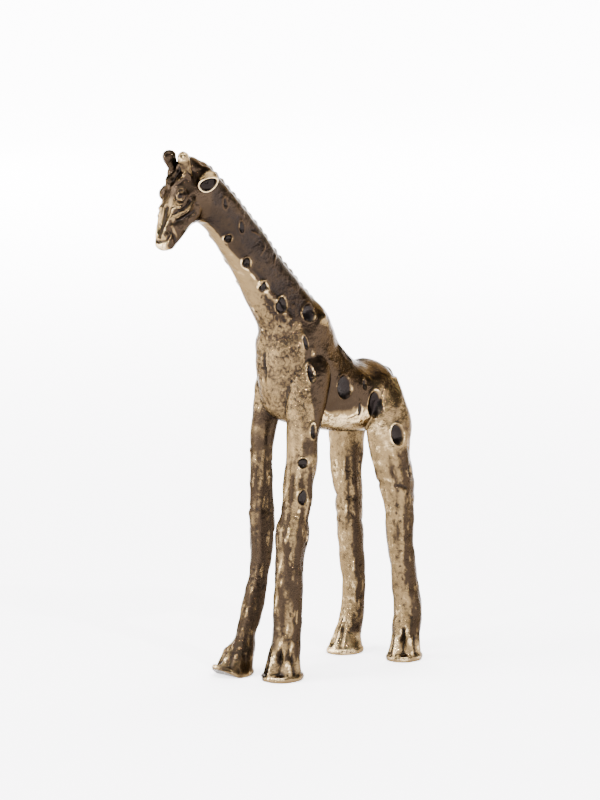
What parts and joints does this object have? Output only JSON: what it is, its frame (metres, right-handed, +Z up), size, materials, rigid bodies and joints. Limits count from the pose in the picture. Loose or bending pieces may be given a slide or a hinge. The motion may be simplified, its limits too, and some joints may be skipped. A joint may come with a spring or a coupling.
{
  "type": "giraffe figurine",
  "caption": "Small solid cast brass giraffe standing in mid stride, head bowed, with dimpled spots and a dark antique finish",
  "frame": {"origin": "on the ground under the middle of the bounding box", "axes": "+Z up; the animal faces -Y; +X is its left side"},
  "size_m": [0.0116, 0.0366, 0.06],
  "materials": {
    "aged_brass": "antique, dark in the hollows and rubbed bright on the ridges",
    "bright_brass": "worn bright"
  },
  "bodies": {
    "root": {"torso": "aged_brass", "neck": "aged_brass", "head": "aged_brass", "left_ear": "bright_brass", "right_ear": "bright_brass", "left_ossicone": "bright_brass", "right_ossicone": "bright_brass", "front_left_leg": "aged_brass", "front_right_leg": "aged_brass", "hind_left_leg": "aged_brass", "hind_right_leg": "aged_brass", "tail": "aged_brass"}
  },
  "joints": []
}
